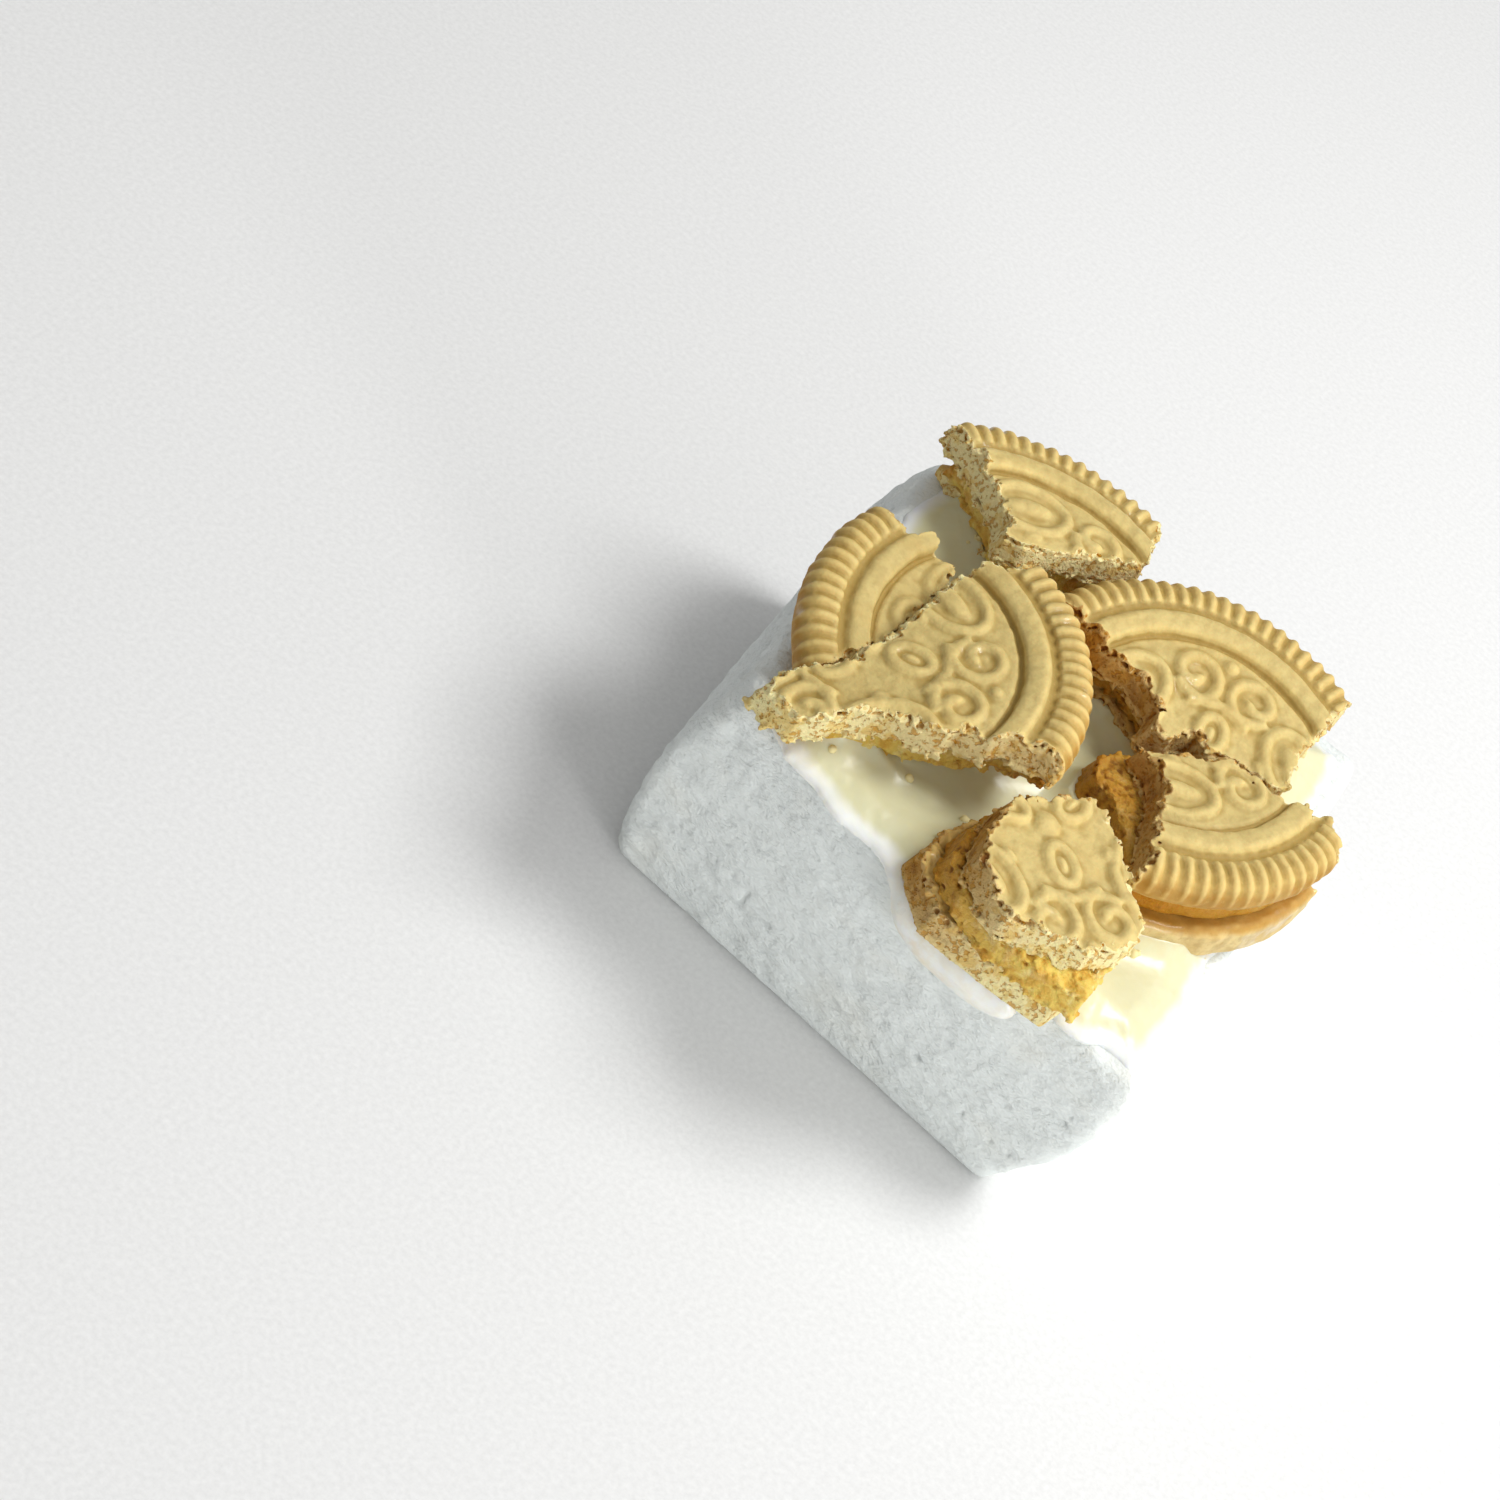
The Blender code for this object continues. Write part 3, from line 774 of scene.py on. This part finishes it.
def wafer_blank():
    """The turned body of a wafer, without its ribs and ornament, in millimetres."""
    inner, outer = BAND
    ribs, rim = RIBS_START, COOKIE_RADIUS
    profile = [
        (0, FLOOR), (inner - 0.55, FLOOR), (inner - 0.3, -1.2), (inner, -1.2), (inner + 0.3, -0.15),
        (inner + 0.9, 0.08), (outer - 0.6, 0.08), (outer - 0.15, -0.15), (outer + 0.15, -0.8),
        (ribs - 0.1, -0.85), (ribs + 0.5, -0.62), (rim - 1.9, -0.68), (rim - 1.0, -1.15),
        (rim - 0.45, -2.0), (rim - 0.25, -3.3), (rim - 0.6, -WAFER), (0, -WAFER),
    ]
    shape = bmesh.new()
    ring = [shape.verts.new((x, 0, z)) for x, z in profile]
    edges = [shape.edges.new(pair) for pair in zip(ring, ring[1:])]
    bmesh.ops.spin(
        shape, geom=ring + edges, cent=(0, 0, 0), axis=(0, 0, 1), angle=math.tau, steps=120, use_merge=True)
    bmesh.ops.remove_doubles(shape, verts=shape.verts, dist=1e-4)
    bmesh.ops.recalc_face_normals(shape, faces=shape.faces)
    mesh = bpy.data.meshes.new("wafer_blank")
    shape.to_mesh(mesh)
    shape.free()
    return mesh


def ornament(tree, line):
    """Leafed ovals and pairs of scrolls by turns, with petals and beads between, as shapes to repeat."""
    repeats = tree.size("Repeats")
    half = math.pi / settings("cookie_looks").repeats
    circle = tree.node("GeometryNodeCurvePrimitiveCircle", sides={"Resolution": 40, "Radius": 1.0})
    bead = tree.node("GeometryNodeMeshUVSphere", sides={"Segments": 14, "Rings": 9, "Radius": 1.0})
    spiral = {"Resolution": 22, "Rotations": 1.25, "Start Radius": 0.5, "End Radius": 3.3, "Height": 0.0}
    scroll = tree.node("GeometryNodeCurveSpiral", sides=spiral)
    low = FLOOR - 0.2
    # How far from the middle the ovals and the petals stand
    ovals, petals = 10.5, 4.4

    oval = tree.tube(tree.placed(circle, (ovals, 0, low), scale=(3.0, 4.4, 1)), line)
    leaf = tree.placed(bead, (ovals, 0, FLOOR), scale=(1.2, 2.8, 0.75))
    petal = tree.tube(tree.placed(circle, (petals, 0, low), scale=(2.1, 1.4, 1)), line)
    seed = tree.placed(bead, (petals, 0, FLOOR), scale=(1.0, 0.45, 0.45))
    dot = tree.placed(bead, (13.2, 0, FLOOR), scale=(0.8, 0.8, 0.5))
    inner = tree.placed(bead, (6.7, 0, FLOOR), scale=(0.6, 1.0, 0.45))
    left = tree.placed(scroll, (10.4, 3.5, low), turn=(0, 0, -math.pi / 2))
    right = tree.placed(left, scale=(1, -1, 1))
    arm = tree.node("GeometryNodeCurvePrimitiveBezierSegment", sides={
        "Start": (8.2, 0, low), "Start Handle": (7.4, 1.6, low),
        "End Handle": (7.4, 3.8, low), "End": (8.9, 5.0, low)})
    other_arm = tree.placed(arm, scale=(1, -1, 1))
    lines = [tree.tube(part, line) for part in (left, right, arm, other_arm)]
    return [
        tree.round_axis(tree.joined(oval, leaf, inner), repeats),
        tree.round_axis(tree.joined(*lines, petal, seed, dot), repeats, half),
        tree.placed(bead, (0, 0, FLOOR), scale=(1.5, 1.5, 0.6)),
    ]


def pressed_wafer():
    """The field of the whole upper wafer and its cells: blank, ribs and ornament pressed into one."""
    looks = settings("cookie_looks")
    tree = Tree("pressed_pattern", {
        "Ribs": ("NodeSocketInt", looks.ribs),
        "Rib radius": ("NodeSocketFloat", looks.rib_width / 2),
        "Repeats": ("NodeSocketInt", looks.repeats),
        "Line radius": ("NodeSocketFloat", looks.line_width / 2),
        "Material": ("NodeSocketMaterial", None),
    })
    rim = COOKIE_RADIUS
    top = tree.node("GeometryNodeCurvePrimitiveBezierSegment", sides={
        "Resolution": 8, "Start": (RIBS_START + 0.2, 0, -0.8), "Start Handle": (rim - 2.2, 0, -0.45),
        "End Handle": (rim - 0.4, 0, -0.65), "End": (rim - 0.7, 0, -3.3)})
    rib = tree.tube(top, tree.size("Rib radius"))
    ribs = tree.round_axis(rib, tree.size("Ribs"))
    parts = [tree.size("Geometry"), ribs, *ornament(tree, tree.size("Line radius"))]
    tree.finish(tree.joined(*parts), tree.size("Material"))
    mesh = solid_from_tree(tree, wafer_blank())
    mesh.calc_loop_triangles()
    points = np.array([vert.co for vert in mesh.vertices], np.float32)
    triangles = np.array([triangle.vertices for triangle in mesh.loop_triangles])
    reach = COOKIE_RADIUS + 3
    cells = Cells((-reach, -reach, -WAFER - 4), (reach, reach, 4.0), looks.step)
    return smoothed(mesh_field(points, triangles, cells, 6.0), 2), cells


# Broken pieces


def layer_of(node):
    piece, layer = node.split("_")
    return piece, layer


def cookie_nodes():
    return [
        f"{piece}_{layer}" for piece in COOKIE_PLACES for layer in LAYERS
        if f"{piece}_{layer}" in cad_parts
    ]


# A wall lower than this is the side of an ornament line
LEAST_WALL = 1.3
# The crumb reaches this far from a wall, to either side
BREAK_REACH = 1.8
# The break leans out towards the foot of a layer by this share of the depth
FLARE = 0.16
# The pieces reach down to this height above the block, inside the icing
SUNK = 0.6


def break_walls(node):
    """The walls of a layer's break, without the facets of its round side and of its ornament."""
    piece, layer = layer_of(node)
    # A wall that stays outside this radius is a facet of the round side or of a rib
    radius = LAYERS[layer].radius - (0.75 if layer == "cream" else 2.4)
    to_cookie = cookie_matrix(piece).inverted()

    def inside_rim(corners):
        return np.hypot(*moved(corners, to_cookie)[:, :2].T).min() < radius

    return wall_lines(node, inside_rim, LEAST_WALL if layer == "face" else 0.0)


def plain_layer(layer, points):
    """The field of a whole layer without ornament, in the cookie's axes."""
    shape = LAYERS[layer]
    return disc_field(points, shape.radius, shape.top, shape.foot, shape.rounding)


def rough_layer(layer, points, seed):
    """A whole cream or lower wafer, uneven, and roughest inside where it was under the rest."""
    values = plain_layer(layer, points)
    inner = 1 - ramp(np.hypot(points[:, 0], points[:, 1]), CREAM_RADIUS - 1.5, CREAM_RADIUS)
    values += 0.12 * clouds(points, 2.2, seed + 7)
    values += inner * (0.3 * clouds(points, 1.1, seed + 5) + 0.25 * clouds(points, 0.5, seed + 6))
    return values


def crumb_depth(points, depth, share, seed):
    """How far the break stands back from its wall, from layered crumb, open pores and fine grain."""
    skin = ramp(depth, 0.1, 1.2)
    slabs = clouds(points, (2.6, 2.6, 1.3), seed)
    lumps = clouds(points, (1.0, 1.0, 0.8), seed + 1)
    flakes = clouds(points, (0.9, 0.9, 0.55), seed + 2)
    grain = clouds(points, (0.45, 0.45, 0.4), seed + 3)
    pores = ramp(clouds(points, (0.8, 0.8, 0.65), seed + 4), 0.2, 0.75)
    inner = 0.3 + 0.7 * skin
    rough = (0.4 * slabs + 0.65 * lumps + 0.55 * flakes) * inner + 0.85 * grain
    return share * (rough + 0.9 * pores * skin)


def broken_layer(node, seed, whole=None, whole_cells=None):
    """One layer of one piece: the whole layer's field, cut by its crumbly break, as a mesh."""
    looks = settings("cookie_looks")
    piece, layer = layer_of(node)
    to_top = cookie_matrix(piece)
    corners = moved(node_mesh(node)[0], to_top.inverted())
    step = looks.step if layer == "face" else looks.plain_step
    margin = np.array((2.0, 2.0, 2.4))
    cells = Cells(corners.min(axis=0) - margin, corners.max(axis=0) + margin, step)
    points = cells.points()
    if layer == "face":
        values = whole_cells.part_of(whole, cells).reshape(-1).copy()
    else:
        values = rough_layer(layer, points, seed)
    near = values < 4 * step
    spots = points[near]
    on_top = moved(spots, to_top)

    _, top, foot, _, crumb_share = LAYERS[layer]
    depth = top - spots[:, 2]
    wall = line_distance(on_top[:, :2], break_walls(node))
    crumb = np.zeros(len(spots), np.float32)
    close = (np.abs(wall) < BREAK_REACH) & (values[near] > -4 * step)
    crumb[close] = crumb_depth(spots[close], depth[close], looks.crumb * crumb_share, seed)
    wall = np.where(close, wall + crumb, wall) - FLARE * np.clip(depth, 0, top - foot)
    whole_part = values[near] + 0.1 * clouds(spots, 3.0, seed + 8) + 0.06 * clouds(spots, 0.9, seed + 9)
    values[near] = np.maximum(soft_max(whole_part, wall, 0.12), SUNK - on_top[:, 2])
    broken = np.full(len(points), -1.0, np.float32)
    broken[near] = wall - whole_part

    shape = tuple(cells.count)
    values = values.reshape(shape)
    mesh, own = field_mesh(node, values, cells, top_matrix() @ to_top)
    attribute(mesh, "own", own)
    mark_hollows(mesh, values, cells, own, 6, 0.8 * step)
    attribute(mesh, "broken", ramp(cells.sample(broken.reshape(shape), own), -0.35, 0.1))
    # How much painted shade the breaks get, from the piece's left end to its right
    x = moved(own, to_top)[:, 0]
    attribute(mesh, "toast", np.clip(np.interp(x, (x.min(), x.max()), BREAK_SHADE[piece]), 0, 1))
    return mesh


# Operators


class MakeBlock(bpy.types.Operator):
    """The marshmallow: the cut block with soft swells, streaks and torn bubbles"""

    bl_idname = "marshmallow.block"
    bl_label = "Block"

    def execute(self, context):
        looks = settings("block_looks")
        points, triangles = node_mesh("marshmallow")
        cells = Cells(points.min(axis=0) - 2, points.max(axis=0) + 2, looks.step)
        values = mesh_field(points, triangles, cells, 4.0).reshape(-1)
        near = np.abs(values) < 3.9 * looks.step
        spots = cells.points()[near]
        whole = moved(spots, top_matrix())
        rough = looks.swell * clouds(spots, 9, 11)
        rough += looks.streak * clouds(spots, (2.4, 1.2, 1.2), 12)
        rough += 0.8 * looks.streak * clouds(spots, (1.6, 1.0, 0.8), 13)
        rough += looks.pit * ramp(clouds(spots, 1.2, 14), 0.76, 1.0)
        # The base is flat where it rests
        rough *= ramp(whole[:, 2], 0.2, 1.5)
        values[near] += rough
        values = values.reshape(tuple(cells.count))
        mesh, own = field_mesh("marshmallow_block", values, cells, top_matrix())
        mark_hollows(mesh, values, cells, own, 3, 0.4 * looks.step)
        place_piece("marshmallow_block", mesh, sponge_material(), "marshmallow", "marshmallow")
        return {"FINISHED"}


class MakeIcing(bpy.types.Operator):
    """The icing: a thin pour that climbs every piece and hangs over the front edge"""

    bl_idname = "marshmallow.icing"
    bl_label = "Icing"

    def nearest_piece(self, places, height):
        """Distance at one height to the nearest cookie layer, seen from above."""
        flat = np.column_stack([places, np.full(len(places), height, np.float32)])
        nearest = np.full(len(places), 1e3, np.float32)
        for node in cookie_nodes():
            piece, layer = layer_of(node)
            disc = plain_layer(layer, moved(flat, cookie_matrix(piece).inverted()))
            nearest = np.minimum(nearest, np.maximum(disc, line_distance(places, break_walls(node))))
        return nearest

    def execute(self, context):
        looks = settings("icing_looks")
        points, _ = node_mesh("icing")
        low, high = points.min(axis=0), points.max(axis=0)
        cells = Cells((low[0] - 2, low[1] - 2, -5.5), (high[0] + 2, high[1] + 2, 5.5), looks.step)
        x, y, _ = cells.axes()
        places = np.stack(np.meshgrid(x, y, indexing="ij"), axis=-1).reshape(-1, 2)
        flat = np.column_stack([places, np.zeros(len(places), np.float32)])
        edge = line_distance(places, wall_lines("icing"))
        edge += 0.55 * clouds(flat, 3.6, 21) + 0.25 * clouds(flat, 1.3, 22)
        gap = np.maximum(self.nearest_piece(places, 2.0), 0)
        inland = ramp(-edge, 0, 4.5)
        height = SHEET_EDGE + (looks.depth - SHEET_EDGE) * inland + 0.22 * clouds(flat, 7, 23) * inland
        height += looks.climb * np.exp(-gap / looks.reach) * inland
        columns = cells.count[2]
        spots = cells.points()
        sheet = soft_max(
            spots[:, 2] - np.repeat(height, columns), np.repeat(edge, columns).astype(np.float32), 0.9)
        sheet = np.maximum(sheet, SHEET_FOOT - spots[:, 2])
        away = (spots - np.array(TONGUE_PLACE, np.float32)) / np.array(TONGUE_RADII, np.float32)
        length = np.linalg.norm(away, axis=1)
        tongue = (length - 1) * min(TONGUE_RADII) + 0.25 * clouds(spots, 3.0, 24)
        values = soft_min(sheet, tongue, 1.1)
        shape = tuple(cells.count)
        mesh, own = field_mesh("icing_pour", values.reshape(shape), cells, top_matrix())
        thick = np.repeat(inland, columns).reshape(shape)
        near = np.repeat(np.exp(-gap / 1.1), columns).reshape(shape)
        attribute(mesh, "thick", cells.sample(thick, own))
        attribute(mesh, "near", cells.sample(near, own))
        place_piece("icing_pour", mesh, icing_material(), "icing", "icing")
        return {"FINISHED"}


class MakeWafers(bpy.types.Operator):
    """The upper wafers: pressed faces with ribbed rims, broken through"""

    bl_idname = "marshmallow.wafers"
    bl_label = "Upper wafers"

    def execute(self, context):
        whole, cells = pressed_wafer()
        material = face_material()
        for index, node in enumerate(cookie_nodes()):
            if layer_of(node)[1] == "face":
                mesh = broken_layer(node, 100 + 10 * index, whole, cells)
                place_piece(f"{node}_baked", mesh, material, "wafer", node)
        return {"FINISHED"}


class MakeFillings(bpy.types.Operator):
    """The creams and lower wafers that show at the breaks"""

    bl_idname = "marshmallow.fillings"
    bl_label = "Creams and lower wafers"

    def execute(self, context):
        finishes = {"cream": (cream_material(), "cream"), "base": (base_material(), "brown_wafer")}
        for index, node in enumerate(cookie_nodes()):
            layer = layer_of(node)[1]
            if layer in finishes:
                material, slot = finishes[layer]
                mesh = broken_layer(node, 400 + 10 * index)
                place_piece(f"{node}_broken", mesh, material, slot, node)
        return {"FINISHED"}


class MakeCrumbs(bpy.types.Operator):
    """Loose crumbs that fell on the icing beside the breaks"""

    bl_idname = "marshmallow.crumbs"
    bl_label = "Crumbs"

    def execute(self, context):
        looks = settings("crumb_looks")
        tree = Tree("loose_crumbs", {
            "Density": ("NodeSocketFloat", looks.density * 1e4),
            "Size": ("NodeSocketFloat", looks.size),
            "Seed": ("NodeSocketInt", looks.seed),
            "Material": ("NodeSocketMaterial", None),
        })
        near = tree.node("GeometryNodeInputNamedAttribute", {"data_type": "FLOAT"}, {"Name": "near"})
        normal = tree.node("GeometryNodeInputNormal")
        upward = tree.node("ShaderNodeSeparateXYZ", sides={0: normal}, output="Z")
        density = near * upward.math("GREATER_THAN", 0.6) * tree.size("Density")
        scattered = tree.node("GeometryNodeDistributePointsOnFaces", sides={
            "Mesh": tree.size("Geometry"), "Density": density, "Seed": tree.size("Seed")})
        crumb = tree.node("GeometryNodeMeshIcoSphere", sides={"Radius": 1.0, "Subdivisions": 2})
        chance = {"Seed": tree.size("Seed")}
        ragged = tree.node("ShaderNodeTexNoise", sides={"Scale": 1.7})
        bulge = tree.node("ShaderNodeVectorMath", {"operation": "SCALE"}, {
            0: tree.node("GeometryNodeInputPosition"), "Scale": ragged})
        crumb = tree.node("GeometryNodeSetPosition", sides={"Geometry": crumb, "Offset": bulge})
        share = tree.node("FunctionNodeRandomValue", {"data_type": "FLOAT"}, {2: 0.25, 3: 1.0, **chance}, 1)
        # Squared, so that most of the crumbs are small
        size = share.math("POWER", 2.0) * tree.size("Size")
        turn = tree.node("FunctionNodeRandomValue", {"data_type": "FLOAT_VECTOR"}, {
            0: (0, 0, 0), 1: (math.tau,) * 3, **chance})
        crumbs = tree.node("GeometryNodeInstanceOnPoints", sides={
            "Points": scattered, "Instance": crumb, "Rotation": turn, "Scale": size})
        tree.finish(crumbs, tree.size("Material"))
        mesh = solid_from_tree(tree, bpy.data.objects["icing_pour"].data.copy())
        mesh.shade_smooth()
        material = plain_material("fallen_crumb", settings("cookie_looks").crumb_colour, 0.7)
        place_piece("loose_crumbs", mesh, material, "wafer")
        return {"FINISHED"}


class MakeStage(bpy.types.Operator):
    """The pale floor, the soft lights and the camera at the photograph's angle"""

    bl_idname = "marshmallow.stage"
    bl_label = "Stage"

    def light(self, name, place, size, power):
        lamp = bpy.data.lights.new(name, "AREA")
        lamp.size = size
        lamp.energy = power
        obj = bpy.data.objects.new(name, lamp)
        obj.location = place
        obj.rotation_euler = Vector(place).to_track_quat("Z", "Y").to_euler()
        bpy.context.scene.collection.objects.link(obj)

    def sky(self, strength):
        """A white sky that brightens from left to right."""
        world = bpy.data.worlds.new("sky")
        world.use_nodes = True
        nodes = Nodes(world.node_tree)
        place = nodes.node("ShaderNodeTexCoord", output="Generated")
        x = nodes.node("ShaderNodeSeparateXYZ", sides={0: place}, output="X")
        shade = nodes.node("ShaderNodeMapRange", sides={
            "Value": x, 1: -0.8, 2: 0.8, 3: strength * 0.3, 4: strength * 1.5})
        background = world.node_tree.nodes["Background"].inputs
        nodes.feed(background["Color"], (1, 1, 1))
        nodes.feed(background["Strength"], shade)
        bpy.context.scene.world = world

    def camera(self):
        """Looks at the cut top from the photograph's angle."""
        turn, above, roll = (math.radians(v) for v in (CAMERA_ROUND, CAMERA_ABOVE, CAMERA_ROLL))
        level = math.cos(above)
        back = Vector((math.sin(turn) * level, -math.cos(turn) * level, math.sin(above)))
        right = Vector((math.cos(turn), math.sin(turn), 0))
        up = back.cross(right)
        across = math.cos(roll) * right + math.sin(roll) * up
        upward = math.cos(roll) * up - math.sin(roll) * right
        axes = Matrix((across, upward, back)).transposed()
        place = Matrix.Translation(axes @ -Vector(CAMERA_OFFSET)) @ axes.to_4x4()
        place = top_matrix() @ place
        place.translation *= MM
        data = bpy.data.cameras.new("camera")
        data.lens, data.sensor_width, data.clip_start = LENS, SENSOR, 0.01
        obj = bpy.data.objects.new("camera", data)
        obj.matrix_world = place
        bpy.context.scene.collection.objects.link(obj)
        bpy.context.scene.camera = obj

    def execute(self, context):
        looks = settings("stage_looks")
        floor = bpy.data.meshes.new("floor")
        shape = bmesh.new()
        bmesh.ops.create_grid(shape, x_segments=1, y_segments=1, size=3.0)
        shape.to_mesh(floor)
        shape.free()
        floor.materials.append(plain_material("pale_floor", looks.floor_colour, 0.9))
        obj = bpy.data.objects.new("floor", floor)
        context.scene.collection.objects.link(obj)
        self.light("key", (0.17, 0.11, 0.41), 0.15, looks.key)
        self.light("fill", (0.42, -0.24, 0.12), 0.12, looks.fill)
        self.sky(looks.sky)
        context.scene.view_settings.view_transform = "Standard"
        self.camera()
        return {"FINISHED"}


class MarshmallowPanel(bpy.types.Panel):
    bl_label = "Lemon Cookie Marshmallow"
    bl_idname = "VIEW3D_PT_marshmallow"
    bl_space_type = "VIEW_3D"
    bl_region_type = "UI"
    bl_category = "Marshmallow"

    def draw(self, context):
        for operator in OPERATORS:
            self.layout.operator(operator.bl_idname)
        for name in GROUPS:
            box = self.layout.box()
            group = getattr(context.scene, name)
            for prop in group.bl_rna.properties:
                if prop.identifier not in ("rna_type", "name"):
                    box.prop(group, prop.identifier)


GROUPS = {
    "block_looks": BlockLooks,
    "icing_looks": IcingLooks,
    "cookie_looks": CookieLooks,
    "crumb_looks": CrumbLooks,
    "stage_looks": StageLooks,
}
OPERATORS = (MakeBlock, MakeIcing, MakeWafers, MakeFillings, MakeCrumbs, MakeStage)
CLASSES = (*GROUPS.values(), *OPERATORS, MarshmallowPanel)


def register():
    for made in CLASSES:
        bpy.utils.register_class(made)
    for name, group in GROUPS.items():
        setattr(bpy.types.Scene, name, PointerProperty(type=group))


def unregister():
    for name in GROUPS:
        delattr(bpy.types.Scene, name)
    for made in reversed(CLASSES):
        bpy.utils.unregister_class(made)


def main():
    register()
    bpy.ops.marshmallow.block()
    bpy.ops.marshmallow.icing()
    bpy.ops.marshmallow.wafers()
    bpy.ops.marshmallow.fillings()
    bpy.ops.marshmallow.crumbs()
    bpy.ops.marshmallow.stage()


if __name__ == "__main__":
    main()
